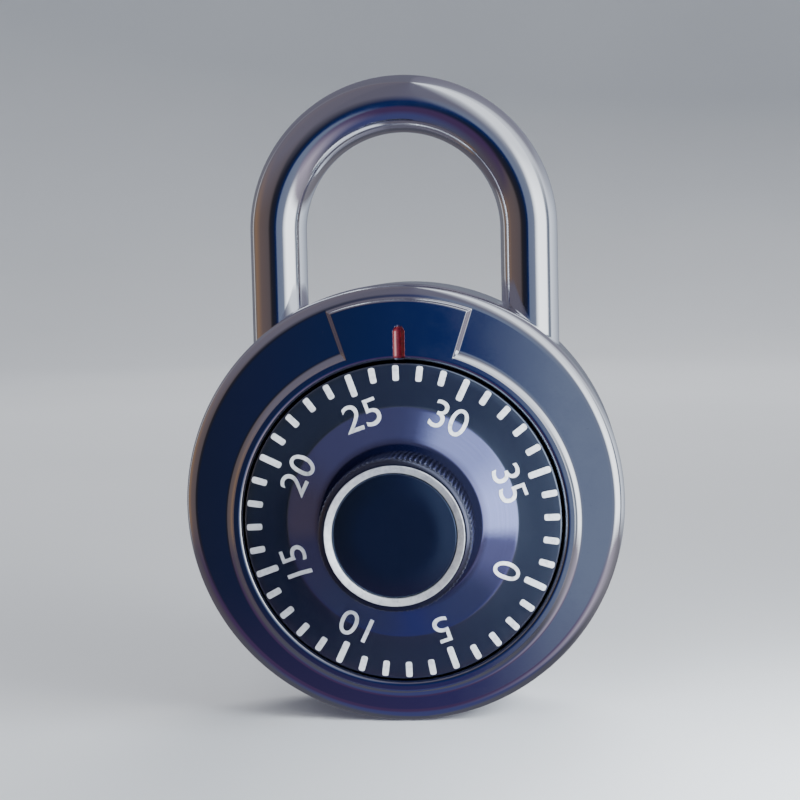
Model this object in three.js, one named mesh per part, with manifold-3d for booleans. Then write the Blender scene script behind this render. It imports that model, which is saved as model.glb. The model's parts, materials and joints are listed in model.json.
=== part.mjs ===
// Combination padlock: round case, numbered dial with a knurled knob, chromed shackle.
// Units are millimetres, +Z is up along the shackle, and the dial faces -Y.
// The origin is the centre of the case's flat back face, so the body reaches from y = 0 to y = -CASE_DEPTH.
import * as THREE from 'three';
import { mergeVertices } from 'three/addons/utils/BufferGeometryUtils.js';
import Module from 'manifold-3d';

// ---- driving dimensions -------------------------------------------------------------------------
const CASE_R = 25;
const CASE_DEPTH = 17;
const SHEET = 1;
const FRONT_THICK = 1.4;
const CASE_SIDES = 72;
const EDGE_ROUND = 1.5;
const FACE_LEVEL = -16.4; // the low, C-shaped part of the front face
const REAR_LIP_INNER_R = 22.6;
const REAR_LIP_THICK = 0.9;

const DIAL_Z = -1.8; // the dial's axis sits this far below the case's centre
const WELL_R = 18.2;
const WELL_FLOOR = -15.2;
const WELL_WALL = 1;
const COLLAR_R = 19.4; // the raised ring round the dial
const COLLAR_FOOT_R = 20.2;
const INDEX_HALF_ANGLE = THREE.MathUtils.degToRad(18); // the raised index pad, part of the same step
const INDEX_R = 23.1;
const INDEX_FOOT_R = 23.5;

const DIAL_R = 17.9;
const DIAL_FRONT = -17.5;
const DIAL_BACK = -15.9;
const DIAL_EDGE_ROUND = 0.3;
const FLARE_OUTER_R = 13;
const FLARE_INNER_R = 9;
const FLARE_TOP = -20.2;
const KNOB_R = 8.4;
const KNURL_DEPTH = 0.3;
const KNURL_TEETH = 90;
const KNOB_FRONT = -27.8;
const KNOB_RING_R = 7.6;
const KNOB_RING_WIDTH = 0.8;

const ROD_R = 3.3;
const ROD_SIDES = 28;
const LEG_X = 14.6;
const LEG_Y = -8;
const CROWN_Z = 31;
const TOE_TIP_Z = 13.5;
const HEEL_TIP_Z = 0.5;
const STOP_RING_Z = 2;
const STOP_RING_THICK = 1;
const STOP_RING_R = 4.2;
const SLEEVE_R = 4.5;
const SLEEVE_BOTTOM = 12.2;

const INNER_WALL_R = 23.7;
const INNER_WALL_THICK = 0.8;
const INNER_FLOOR = [-3.2, -2.3];

const SPINDLE_R = 3;
const SPINDLE_GROOVE_R = 2.6;
const SPINDLE_SQUARE_HALF = 1.6;
const SPINDLE_TIP = -24;
const POST_R = 3;
const POST_GROOVE_R = 2.4;
const POST_FLANGE_R = 4.4;
const POST_TIP = -10.9;
const RIVET_R = 2; // the turned-down end that passes through the inner case
const DISC_R = 10.5;
const GATE_HALF = 1.7;
const GATE_BOTTOM_R = 8.2;
const CAM_SPAN = [-12.8, -11.6];
const DISC_2_SPAN = [-9.9, -8.8];
const DISC_1_SPAN = [-7.6, -6.5];
const CAM_NOTCHES = 12;
const TAB_R = 6.7;
const TAB_SIZE = [1.4, 1.2];
const CAM_TAB_REACH = -10.85; // facing tabs pass with the running gap between them
const DISC_2_TAB_REACH = -8.3;

const LATCH_PIVOT = [-10.2, 7.2];
const LATCH_PIN_R = 1.5;
const LATCH_PIN_TIP = -13.6;
const LATCH_BOSS_R = 2.6;
const LATCH_SPAN = [-9.6, -6.4];
const LATCH_BOSS_SPAN = [-12.3, -5.7];
const FENCE_SPAN = [-12.9, -6.4];
const FENCE_WIDTH = 1.5;
const FENCE_TIP_R = 11;
const FENCE_ANGLE = THREE.MathUtils.degToRad(107.5); // from +X, about the dial's axis

const SPRING_WIRE_R = 0.22;
const POST_SPRING_R = 3.75;
const LATCH_SPRING_R = 2.15;
const LATCH_SPRING_SPAN = [-3.7, -5.2];

const FIT = 0.1; // gap left round a pressed or riveted piece
const RUNNING = 0.2; // gap left round a piece that turns or slides

// ---- solids ---------------------------------------------------------------------------------------
const wasm = await Module();
wasm.setup();

function solidOf(geometry) {
  const bare = geometry.index ? geometry.toNonIndexed() : geometry.clone();
  bare.deleteAttribute('normal');
  bare.deleteAttribute('uv');
  const merged = mergeVertices(bare, 1e-4);
  return new wasm.Manifold(
    new wasm.Mesh({
      numProp: 3,
      vertProperties: new Float32Array(merged.attributes.position.array),
      triVerts: new Uint32Array(merged.index.array),
    }),
  );
}

function geometryOf(solid) {
  const { vertProperties, triVerts } = solid.getMesh();
  const geometry = new THREE.BufferGeometry();
  geometry.setAttribute('position', new THREE.BufferAttribute(vertProperties, 3));
  geometry.setIndex(new THREE.BufferAttribute(triVerts, 1));
  geometry.computeVertexNormals();
  return geometry;
}

function joined(...solids) {
  return solids.reduce((sum, next) => sum.add(next));
}

function cut(solid, ...tools) {
  return tools.reduce((left, tool) => left.subtract(tool), solid);
}

// A body of revolution about the Y axis through (0, axisZ), from [radius, y] corners listed anticlockwise
// with the radius to the right and +y up.
function turned(profile, axisZ = 0, segments = 64, axisX = 0) {
  const points = [...profile, profile[0]].map(([r, y]) => new THREE.Vector2(r, y));
  const geometry = new THREE.LatheGeometry(points, segments);
  geometry.translate(axisX, 0, axisZ);
  return solidOf(geometry);
}

function disc(radius, [yFront, yBack], axisZ = 0, segments = 64, axisX = 0) {
  const geometry = new THREE.CylinderGeometry(radius, radius, yBack - yFront, segments);
  geometry.translate(axisX, (yFront + yBack) / 2, axisZ);
  return solidOf(geometry);
}

function washer(outer, inner, span, axisZ = DIAL_Z, segments = 32, axisX = 0) {
  return cut(
    disc(outer, span, axisZ, segments, axisX),
    disc(inner, [span[0] - 1, span[1] + 1], axisZ, segments, axisX),
  );
}

// An outline in the XZ plane, drawn as [x, z] corners, carried through from yFront to yBack.
function plate(outline, [yFront, yBack]) {
  const shape = new THREE.Shape(outline.map(([x, z]) => new THREE.Vector2(x, z)));
  const geometry = new THREE.ExtrudeGeometry(shape, { depth: yBack - yFront, bevelEnabled: false });
  geometry.rotateX(Math.PI / 2);
  geometry.translate(0, yBack, 0);
  return solidOf(geometry);
}

function uprightRod(radius, zLow, zHigh, x, y, segments = 24) {
  const geometry = new THREE.CylinderGeometry(radius, radius, zHigh - zLow, segments);
  geometry.rotateX(Math.PI / 2);
  geometry.translate(x, y, (zLow + zHigh) / 2);
  return solidOf(geometry);
}

// A bar in the XZ plane that points from the dial's axis at `angle`, between two radii.
function radialBar(angle, [rLow, rHigh], width, span) {
  const along = [Math.cos(angle), Math.sin(angle)];
  const across = [-along[1], along[0]];
  const corner = (r, t) => [r * along[0] + t * across[0], DIAL_Z + r * along[1] + t * across[1]];
  const half = width / 2;
  return plate([corner(rLow, -half), corner(rHigh, -half), corner(rHigh, half), corner(rLow, half)], span);
}

function wire(curve, radius, steps, sides = 8) {
  const section = new THREE.Shape();
  section.absarc(0, 0, radius, 0, 2 * Math.PI, false);
  return new THREE.ExtrudeGeometry(section, { steps, curveSegments: sides / 2, extrudePath: curve });
}

function arcPoints(centre, radii, from, to, count) {
  return Array.from({ length: count + 1 }, (_, i) => {
    const angle = from + ((to - from) * i) / count;
    return [centre[0] + radii[0] * Math.cos(angle), centre[1] + radii[1] * Math.sin(angle)];
  });
}

// ---- finishes -------------------------------------------------------------------------------------
const FINISHES = {
  chrome: { color: 0xc9ccd4, roughness: 0.08, metalness: 1 },
  dialBlack: { color: 0x08090c, roughness: 0.22, metalness: 0 },
  steel: { color: 0x9a9da3, roughness: 0.42, metalness: 1 },
  zinc: { color: 0x8f9398, roughness: 0.55, metalness: 1 },
  brass: { color: 0xb08d45, roughness: 0.35, metalness: 1 },
  springSteel: { color: 0x5d6066, roughness: 0.35, metalness: 1 },
  nylon: { color: 0xd8d6cf, roughness: 0.6, metalness: 0 },
};

const padlock = new THREE.Group();
const groups = {};
for (const body of ['case', 'dial', 'disc_1', 'disc_2', 'latch', 'shackle']) {
  groups[body] = new THREE.Group();
  padlock.add(groups[body]);
}

function addPart(body, name, shape, finish) {
  const geometry = shape.isBufferGeometry ? shape : geometryOf(shape);
  const mesh = new THREE.Mesh(geometry, new THREE.MeshStandardMaterial(FINISHES[finish]));
  mesh.name = name;
  groups[body].add(mesh);
}

// ---- case -----------------------------------------------------------------------------------------
function legHoles(radius) {
  return joined(
    uprightRod(radius, 8, CASE_R + 2, -LEG_X, LEG_Y, 32),
    uprightRod(radius, 8, CASE_R + 2, LEG_X, LEG_Y, 32),
  );
}

// The raised part of the front face: a ring round the dial, with the index pad reaching up from it.
function raisedStep() {
  const front = -CASE_DEPTH;
  const foot = FACE_LEVEL + 0.5;
  const tapered = (radius, footRadius, axisZ) =>
    turned(
      [
        [0, front],
        [radius, front],
        [footRadius, FACE_LEVEL],
        [footRadius, foot],
        [0, foot],
      ],
      axisZ,
      CASE_SIDES,
    );
  const padReach = CASE_R + 5;
  const [leftCorner, rightCorner] = [-INDEX_HALF_ANGLE, INDEX_HALF_ANGLE].map((lean) => [
    padReach * Math.sin(lean),
    DIAL_Z + padReach * Math.cos(lean),
  ]);
  const pad = plate([[0, DIAL_Z], rightCorner, leftCorner], [front, foot]);
  return joined(tapered(COLLAR_R, COLLAR_FOOT_R, DIAL_Z), pad.intersect(tapered(INDEX_R, INDEX_FOOT_R, 0)));
}

function caseShell() {
  const front = -CASE_DEPTH;
  const roundCentre = [CASE_R - EDGE_ROUND, FACE_LEVEL + EDGE_ROUND];
  const blank = turned(
    [
      [0, FACE_LEVEL],
      ...arcPoints(roundCentre, [EDGE_ROUND, EDGE_ROUND], -Math.PI / 2, 0, 3),
      [CASE_R, 0],
      [0, 0],
    ],
    0,
    CASE_SIDES,
  );
  const hollow = disc(CASE_R - SHEET, [front + FRONT_THICK, -REAR_LIP_THICK], 0, CASE_SIDES);
  const rearMouth = disc(REAR_LIP_INNER_R, [-REAR_LIP_THICK - 1, 1], 0, CASE_SIDES);
  const well = disc(WELL_R + WELL_WALL, [front + 0.5, WELL_FLOOR + WELL_WALL], DIAL_Z, CASE_SIDES);
  const wellCut = disc(WELL_R, [front - 1, WELL_FLOOR], DIAL_Z, CASE_SIDES);
  const spindleHole = disc(SPINDLE_R + RUNNING, [front - 1, 0], DIAL_Z);
  const open = joined(cut(joined(blank, raisedStep()), hollow, rearMouth), well);
  return cut(open, wellCut, spindleHole, legHoles(ROD_R + RUNNING));
}

function innerCase() {
  const outer = disc(INNER_WALL_R, [-13.9, INNER_FLOOR[1]], 0, 60);
  const inside = disc(INNER_WALL_R - INNER_WALL_THICK, [-15, INNER_FLOOR[0]], 0, 60);
  const postHole = disc(RIVET_R + FIT, [-6, 0], DIAL_Z, 32);
  const pinHole = disc(LATCH_PIN_R - 0.4 + FIT, [-6, 0], LATCH_PIVOT[1], 24, LATCH_PIVOT[0]);
  return cut(outer, inside, postHole, pinHole, legHoles(ROD_R + 0.3));
}

function backCover() {
  return turned(
    [
      [0, -2],
      [CASE_R - SHEET - RUNNING, -2],
      [CASE_R - SHEET - RUNNING, -REAR_LIP_THICK - FIT],
      [REAR_LIP_INNER_R - RUNNING, -REAR_LIP_THICK - FIT],
      [REAR_LIP_INNER_R - RUNNING, -0.3],
      [REAR_LIP_INNER_R - 0.5, 0],
      [0, 0],
    ],
    0,
    72,
  );
}

// The sleeve that guides the heel, trimmed to the curved wall. The stop ring comes up against its lower end.
function shackleCollar() {
  const sleeve = cut(
    uprightRod(SLEEVE_R, SLEEVE_BOTTOM, 20, LEG_X, LEG_Y),
    uprightRod(ROD_R + RUNNING, SLEEVE_BOTTOM - 1, 21, LEG_X, LEG_Y),
  );
  return sleeve.intersect(disc(INNER_WALL_R - INNER_WALL_THICK - 0.3, [-15, -1], 0, 72));
}

function discPost() {
  return turned(
    [
      [0, POST_TIP],
      [POST_R - 0.3, POST_TIP],
      [POST_R - 0.3, -10.75],
      [POST_GROOVE_R, -10.7],
      [POST_GROOVE_R, -10.2],
      [POST_R, -10.15],
      [POST_R, -4],
      [POST_FLANGE_R, -4],
      [POST_FLANGE_R, INNER_FLOOR[0] - FIT],
      [RIVET_R, INNER_FLOOR[0] - FIT],
      [RIVET_R, INNER_FLOOR[1] - FIT],
      [0, INNER_FLOOR[1] - FIT],
    ],
    DIAL_Z,
    28,
  );
}

class Helix extends THREE.Curve {
  constructor(radius, yStart, yEnd, turns) {
    super();
    Object.assign(this, { radius, yStart, yEnd, turns });
  }

  getPoint(t, target = new THREE.Vector3()) {
    const angle = 2 * Math.PI * this.turns * t;
    const y = this.yStart + (this.yEnd - this.yStart) * t;
    return target.set(this.radius * Math.cos(angle), y, this.radius * Math.sin(angle));
  }
}

function postSpring() {
  const geometry = wire(new Helix(POST_SPRING_R, -5.35, -4.35, 2), SPRING_WIRE_R, 32, 6);
  geometry.translate(0, 0, DIAL_Z);
  return solidOf(geometry);
}

function clipRing(inner, outer, span, mouthAngle, centre = [0, DIAL_Z]) {
  const ring = washer(outer, inner, span, centre[1], 32, centre[0]);
  const reach = outer + 1;
  const half = 0.45 * inner;
  const along = [Math.cos(mouthAngle), Math.sin(mouthAngle)];
  const across = [-along[1], along[0]];
  const corner = (r, t) => [
    centre[0] + r * along[0] + t * across[0],
    centre[1] + r * along[1] + t * across[1],
  ];
  const mouth = plate(
    [corner(0, -half), corner(reach, -half), corner(reach, half), corner(0, half)],
    [span[0] - 1, span[1] + 1],
  );
  return cut(ring, mouth);
}

function latchPin() {
  return turned(
    [
      [0, LATCH_PIN_TIP],
      [LATCH_PIN_R - 0.3, LATCH_PIN_TIP],
      [LATCH_PIN_R, LATCH_PIN_TIP + 0.3],
      [LATCH_PIN_R, INNER_FLOOR[0] - FIT],
      [LATCH_PIN_R - 0.4, INNER_FLOOR[0] - FIT],
      [LATCH_PIN_R - 0.4, INNER_FLOOR[1] - FIT],
      [0, INNER_FLOOR[1] - FIT],
    ],
    LATCH_PIVOT[1],
    24,
    LATCH_PIVOT[0],
  );
}

// Torsion spring round the latch pin: one arm bears on the case wall, the other on the latch's lever.
function latchSpring() {
  const [px, pz] = LATCH_PIVOT;
  const [coilBack, coilFront] = LATCH_SPRING_SPAN;
  const turnsStart = THREE.MathUtils.degToRad(200);
  const sweep = THREE.MathUtils.degToRad(360 * 2 + 170);
  const points = [
    new THREE.Vector3(px - 9.5, coilBack, pz - 5.2),
    new THREE.Vector3(px - 5.5, coilBack, pz - 3.4),
  ];
  const count = 30;
  for (let i = 0; i <= count; i += 1) {
    const angle = turnsStart + (sweep * i) / count;
    const y = coilBack + ((coilFront - coilBack) * i) / count;
    const [x, z] = [px + LATCH_SPRING_R * Math.cos(angle), pz + LATCH_SPRING_R * Math.sin(angle)];
    points.push(new THREE.Vector3(x, y, z));
  }
  points.push(new THREE.Vector3(px + 2.9, -5.4, pz + 4.5));
  points.push(new THREE.Vector3(px + 3.4, -5.7, pz + 7.2));
  return wire(new THREE.CatmullRomCurve3(points), SPRING_WIRE_R, 60, 6);
}

addPart('case', 'case_shell', caseShell(), 'chrome');
addPart('case', 'inner_case', innerCase(), 'zinc');
addPart('case', 'back_cover', backCover(), 'steel');
addPart('case', 'shackle_collar', shackleCollar(), 'zinc');
addPart('case', 'disc_post', discPost(), 'brass');
addPart('case', 'post_spring', postSpring(), 'springSteel');
addPart('case', 'rear_spacer', washer(5.2, POST_R + RUNNING, [-6.3, -5.7]), 'nylon');
addPart('case', 'disc_spacer', washer(5.2, POST_R + RUNNING, [-8.6, -7.8]), 'nylon');
addPart('case', 'post_clip', clipRing(POST_R - 0.5, 4.8, [-10.65, -10.25], -Math.PI / 2), 'springSteel');
addPart('case', 'latch_pin', latchPin(), 'steel');
addPart('case', 'latch_spring', latchSpring(), 'springSteel');
addPart('case', 'dial_washer', washer(6.5, SPINDLE_R + RUNNING, [-15.75, -15.35]), 'nylon');

// ---- dial, knob and drive cam -----------------------------------------------------------------------
// The numbered plate rises as a cone towards the knob.
function dialPlate() {
  const edge = DIAL_EDGE_ROUND;
  return turned(
    [
      [SPINDLE_R + FIT, FLARE_TOP],
      [FLARE_INNER_R, FLARE_TOP],
      [FLARE_OUTER_R, DIAL_FRONT],
      [DIAL_R - edge, DIAL_FRONT],
      [DIAL_R, DIAL_FRONT + edge],
      [DIAL_R, DIAL_BACK - edge],
      [DIAL_R - edge, DIAL_BACK],
      [SPINDLE_R + FIT, DIAL_BACK],
    ],
    DIAL_Z,
    60,
  );
}

function knobGrip() {
  const seat = FLARE_TOP - FIT;
  const knurlFront = KNOB_FRONT + 1;
  const core = turned(
    [
      [0, KNOB_FRONT],
      [KNOB_RING_R + FIT, KNOB_FRONT],
      [KNOB_R - 0.3, KNOB_FRONT + 0.5],
      [KNOB_R - KNURL_DEPTH, knurlFront],
      [KNOB_R - KNURL_DEPTH, seat],
      [0, seat],
    ],
    DIAL_Z,
    36,
  );
  const outline = Array.from({ length: 2 * KNURL_TEETH }, (_, i) => {
    const angle = (Math.PI * i) / KNURL_TEETH;
    const r = i % 2 ? KNOB_R : KNOB_R - KNURL_DEPTH;
    return [r * Math.cos(angle), DIAL_Z + r * Math.sin(angle)];
  });
  const knurl = plate(outline, [knurlFront, seat]);
  const faceRecess = disc(KNOB_RING_R + FIT, [KNOB_FRONT - 1, KNOB_FRONT + 0.9], DIAL_Z);
  const spindleBore = disc(SPINDLE_R + FIT, [SPINDLE_TIP - 0.2, seat + 1], DIAL_Z, 40);
  return cut(joined(core, knurl), faceRecess, spindleBore);
}

// A square block on the dial's axis.
function squarePlate(half, span) {
  const [low, high] = [DIAL_Z - half, DIAL_Z + half];
  return plate([[-half, low], [half, low], [half, high], [-half, high]], span);
}

function spindle() {
  const body = turned(
    [
      [0, SPINDLE_TIP],
      [SPINDLE_R - 0.3, SPINDLE_TIP],
      [SPINDLE_R, SPINDLE_TIP + 0.3],
      [SPINDLE_R, -13.95],
      [SPINDLE_GROOVE_R, -13.9],
      [SPINDLE_GROOVE_R, -13.2],
      [SPINDLE_R, -13.15],
      [SPINDLE_R, -12.9],
      [0, -12.9],
    ],
    DIAL_Z,
    28,
  );
  const square = squarePlate(SPINDLE_SQUARE_HALF, [-13, -11.4]);
  const rivetedEnd = disc(2.6, [CAM_SPAN[1] + FIT, -11.1], DIAL_Z, 24);
  return joined(body, square, rivetedEnd);
}

function gate(angle, span) {
  return radialBar(angle, [GATE_BOTTOM_R, DISC_R + 1], 2 * GATE_HALF, [span[0] - 1, span[1] + 1]);
}

function tab(angleDeg, span) {
  const [radial, tangential] = TAB_SIZE;
  const reach = [TAB_R - radial / 2, TAB_R + radial / 2];
  return radialBar(THREE.MathUtils.degToRad(angleDeg), reach, tangential, span);
}

function driveCam() {
  const blank = joined(disc(DISC_R, CAM_SPAN, DIAL_Z, 60), tab(75, [CAM_SPAN[1] - 0.2, CAM_TAB_REACH]));
  const squareHole = squarePlate(SPINDLE_SQUARE_HALF + FIT, [-14, -10.5]);
  const notches = Array.from({ length: CAM_NOTCHES }, (_, i) =>
    gate(FENCE_ANGLE + (2 * Math.PI * i) / CAM_NOTCHES, CAM_SPAN),
  );
  return cut(blank, squareHole, ...notches);
}

addPart('dial', 'dial_plate', dialPlate(), 'dialBlack');
addPart('dial', 'knob_grip', knobGrip(), 'dialBlack');
addPart(
  'dial',
  'knob_ring',
  washer(KNOB_RING_R, KNOB_RING_R - KNOB_RING_WIDTH, [KNOB_FRONT - 0.2, KNOB_FRONT + 0.8], DIAL_Z, 64),
  'chrome',
);
addPart(
  'dial',
  'knob_cap',
  disc(KNOB_RING_R - KNOB_RING_WIDTH - FIT, [KNOB_FRONT - 0.05, KNOB_FRONT + 0.8], DIAL_Z, 64),
  'dialBlack',
);
addPart('dial', 'spindle', spindle(), 'brass');
addPart(
  'dial',
  'spindle_clip',
  clipRing(SPINDLE_R - 0.3, 5.2, [-13.8, -13.3], -Math.PI / 2),
  'springSteel',
);
addPart('dial', 'drive_cam', driveCam(), 'zinc');

// ---- combination discs --------------------------------------------------------------------------------
function combinationDisc(span, frontTab, rearTab) {
  const blank = disc(DISC_R, span, DIAL_Z, 60);
  const tabs = [];
  if (frontTab) {
    tabs.push(tab(frontTab.angle, [frontTab.reach, span[0] + 0.2]));
  }
  if (rearTab) {
    tabs.push(tab(rearTab.angle, [span[1] - 0.2, rearTab.reach]));
  }
  const bore = disc(POST_R + RUNNING, [span[0] - 1, span[1] + 1], DIAL_Z, 32);
  return cut(joined(blank, ...tabs), bore, gate(FENCE_ANGLE, span));
}

addPart(
  'disc_2',
  'disc_2',
  combinationDisc(
    DISC_2_SPAN,
    { angle: 90, reach: CAM_TAB_REACH + RUNNING },
    { angle: 230, reach: DISC_2_TAB_REACH },
  ),
  'zinc',
);
addPart(
  'disc_1',
  'disc_1',
  combinationDisc(DISC_1_SPAN, { angle: 245, reach: DISC_2_TAB_REACH + RUNNING }, null),
  'zinc',
);

// ---- latch ----------------------------------------------------------------------------------------------
// A bell crank on the latch pin: its tooth sits in the toe's notch, and its fence hangs over the disc rims.
function latch() {
  const [px, pz] = LATCH_PIVOT;
  const lever = plate(
    [
      // the foot, round the pin
      [px - 2.5, pz + 0.5],
      [px + 1, pz - 1.5],
      [px + 2.6, pz + 1.6],
      // the short arm that carries the fence
      [-4.8, 12.1],
      [-2.9, 12.1],
      [-2.2, 14.4],
      [-7.6, 14.2],
      // the tooth, in the toe's notch
      [-9.2, 19],
      [-12.5, 19.35],
      [-12.6, 18.5],
      [-11.1, 17.9],
      [-11.1, 12.5],
    ],
    LATCH_SPAN,
  );
  const boss = disc(LATCH_BOSS_R, LATCH_BOSS_SPAN, pz, 32, px);
  const fence = radialBar(FENCE_ANGLE, [FENCE_TIP_R, 15.6], FENCE_WIDTH, FENCE_SPAN);
  const bore = disc(LATCH_PIN_R + RUNNING, [-14, -4], pz, 24, px);
  return cut(joined(lever, boss, fence), bore);
}

addPart('latch', 'latch', latch(), 'zinc');

// ---- shackle --------------------------------------------------------------------------------------------
class Hoop extends THREE.Curve {
  getPoint(t, target = new THREE.Vector3()) {
    const angle = Math.PI * (1 - t);
    return target.set(LEG_X * Math.cos(angle), LEG_Y, CROWN_Z + LEG_X * Math.sin(angle));
  }
}

function shackle() {
  const legTop = CROWN_Z + 0.01;
  const toe = uprightRod(ROD_R, TOE_TIP_Z, legTop, -LEG_X, LEG_Y, ROD_SIDES);
  const heel = uprightRod(ROD_R, HEEL_TIP_Z, legTop, LEG_X, LEG_Y, ROD_SIDES);
  const crown = solidOf(wire(new Hoop(), ROD_R, 20, ROD_SIDES));
  const innerSide = -LEG_X + ROD_R;
  const notchFloor = innerSide - 1.5;
  // The face under the tooth is a ramp, so that a pull on the shackle pushes the tooth out of the notch.
  const notch = plate(
    [
      [notchFloor, 18.3],
      [innerSide + 0.01, 15.2],
      [innerSide + 1, 15.2],
      [innerSide + 1, 19.9],
      [notchFloor, 19.9],
    ],
    [LEG_Y - ROD_R - 1, LEG_Y + ROD_R + 1],
  );
  const tipBevel = plate(
    [
      [innerSide - 1.2, TOE_TIP_Z - 0.01],
      [innerSide + 1, TOE_TIP_Z - 0.01],
      [innerSide + 1, TOE_TIP_Z + 2],
    ],
    [LEG_Y - ROD_R - 1, LEG_Y + ROD_R + 1],
  );
  const groove = cut(
    uprightRod(ROD_R + 1, STOP_RING_Z - 0.1, STOP_RING_Z + STOP_RING_THICK + 0.1, LEG_X, LEG_Y),
    uprightRod(ROD_R - 0.5, STOP_RING_Z - 1, STOP_RING_Z + 2, LEG_X, LEG_Y),
  );
  return cut(joined(toe, crown, heel), notch, tipBevel, groove);
}

function shackleRing() {
  const ringTop = STOP_RING_Z + STOP_RING_THICK;
  const ring = cut(
    uprightRod(STOP_RING_R, STOP_RING_Z, ringTop, LEG_X, LEG_Y),
    uprightRod(ROD_R - 0.4, STOP_RING_Z - 1, ringTop + 1, LEG_X, LEG_Y),
  );
  const mouthGeometry = new THREE.BoxGeometry(3, 3, 3);
  mouthGeometry.translate(LEG_X, LEG_Y + 4, STOP_RING_Z);
  return cut(ring, solidOf(mouthGeometry));
}

addPart('shackle', 'shackle', shackle(), 'chrome');
addPart('shackle', 'shackle_ring', shackleRing(), 'springSteel');

export default padlock;
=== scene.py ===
"""Looks for a round combination padlock: chromed shell and shackle, black numbered dial, knurled knob."""

import json
import math

import bmesh
import bpy
import numpy as np
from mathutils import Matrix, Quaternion, Vector

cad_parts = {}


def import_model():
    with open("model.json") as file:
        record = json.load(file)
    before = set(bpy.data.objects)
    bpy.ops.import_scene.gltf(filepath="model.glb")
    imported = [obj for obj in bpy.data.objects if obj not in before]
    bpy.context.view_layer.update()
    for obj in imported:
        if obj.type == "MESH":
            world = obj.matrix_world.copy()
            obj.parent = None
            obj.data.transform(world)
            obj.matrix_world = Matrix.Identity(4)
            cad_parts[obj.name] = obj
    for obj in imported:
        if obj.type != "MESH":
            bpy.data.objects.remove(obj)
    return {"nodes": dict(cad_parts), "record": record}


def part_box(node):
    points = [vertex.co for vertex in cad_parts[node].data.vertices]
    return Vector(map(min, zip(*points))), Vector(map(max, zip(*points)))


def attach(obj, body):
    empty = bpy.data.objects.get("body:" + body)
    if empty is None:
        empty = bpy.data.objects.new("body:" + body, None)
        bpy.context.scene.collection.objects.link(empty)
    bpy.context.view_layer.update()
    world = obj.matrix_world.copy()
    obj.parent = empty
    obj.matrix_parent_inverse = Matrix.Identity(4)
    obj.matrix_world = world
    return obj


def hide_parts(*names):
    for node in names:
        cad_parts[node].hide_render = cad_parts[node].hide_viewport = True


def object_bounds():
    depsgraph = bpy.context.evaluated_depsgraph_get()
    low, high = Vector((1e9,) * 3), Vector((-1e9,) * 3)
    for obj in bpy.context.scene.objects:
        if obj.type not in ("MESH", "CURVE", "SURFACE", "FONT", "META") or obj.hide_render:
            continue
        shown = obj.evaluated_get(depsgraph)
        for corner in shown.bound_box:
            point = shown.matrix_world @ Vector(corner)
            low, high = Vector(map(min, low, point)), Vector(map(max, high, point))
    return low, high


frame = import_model()
cad_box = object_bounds()

MM = 0.001


# ---- the frame's own sizes, in millimetres ---------------------------------------------------------
def node_box(node):
    low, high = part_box(node)
    return low / MM, high / MM


shell_low, shell_high = node_box("case_shell")
dial_low, dial_high = node_box("dial_plate")
knob_low, knob_high = node_box("knob_grip")
trim_low, trim_high = node_box("knob_ring")
cap_low, cap_high = node_box("knob_cap")
cover_low, cover_high = node_box("back_cover")
rod_low, rod_high = node_box("shackle")

CASE_R = shell_high.x
FRONT = shell_low.y
DIAL_Z = (dial_low.z + dial_high.z) / 2
DIAL_R = (dial_high.x - dial_low.x) / 2
ROD_R = (rod_high.y - rod_low.y) / 2
ROD_Y = (rod_high.y + rod_low.y) / 2
LEG_X = rod_high.x - ROD_R
CROWN_Z = rod_high.z - ROD_R - LEG_X
HEEL_Z = rod_low.z
TOE_Z = 13.5
NOTCH_Z = (15.2, 18.3, 19.9)  # where the toe's notch starts, is fully deep, and ends
HEEL_GROOVE_Z = (1.9, 3.1)

EDGE_ROUND = 1.5
SHEET = 1.0
FRONT_SHEET = 1.4
STEP = 0.6
COLLAR_R = 19.3
COLLAR_FOOT = 20.3
PAD_HALF_ANGLE = math.radians(18)
PAD_SIDE_SLOPE = 0.5
PAD_R = 23.0
WELL_R = DIAL_R + 0.3
WELL_FLOOR = FRONT + 1.8
WELL_WALL = 1.0
LIP_ROUND = 0.55
GROOVE_HALF = 0.62
GROOVE_DEPTH = 0.34
GROOVE_END = 22.0
LEG_HOLE_R = ROD_R + 0.2
SPINDLE_HOLE_R = 3.3
REAR_LIP_R = 22.6
REAR_LIP = -0.9

CONE_HEIGHT = 2.7
TICK_PLANE = dial_low.y + CONE_HEIGHT
FLARE_OUTER = 13.0
FLARE_INNER = 9.0
FLARE_TOP = dial_low.y
FLARE_BLEND = 0.3
DIVISIONS = 40
NUMBER_AT_INDEX = 27.15
NUMBER_EVERY = 5
LONG_TICK = 2.6
SHORT_TICK = 1.75

KNOB_R = (knob_high.x - knob_low.x) / 2
KNOB_FRONT = knob_low.y
KNURL_TEETH = 90
KNURL_DEPTH = 0.3
BORE_R = 3.1


# ---- mesh helpers -------------------------------------------------------------------------------------
def smoothstep(low, high, value):
    t = min(1.0, max(0.0, (value - low) / (high - low)))
    return t * t * (3 - 2 * t)


def make_object(name, vertices, faces):
    mesh = bpy.data.meshes.new(name)
    mesh.from_pydata([tuple(c * MM for c in v) for v in vertices], [], faces)
    mesh.validate()
    b = bmesh.new()
    b.from_mesh(mesh)
    bmesh.ops.remove_doubles(b, verts=b.verts, dist=1e-7)
    bmesh.ops.recalc_face_normals(b, faces=b.faces)
    b.to_mesh(mesh)
    b.free()
    for face in mesh.polygons:
        face.use_smooth = True
    obj = bpy.data.objects.new(name, mesh)
    bpy.context.scene.collection.objects.link(obj)
    return obj


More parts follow.
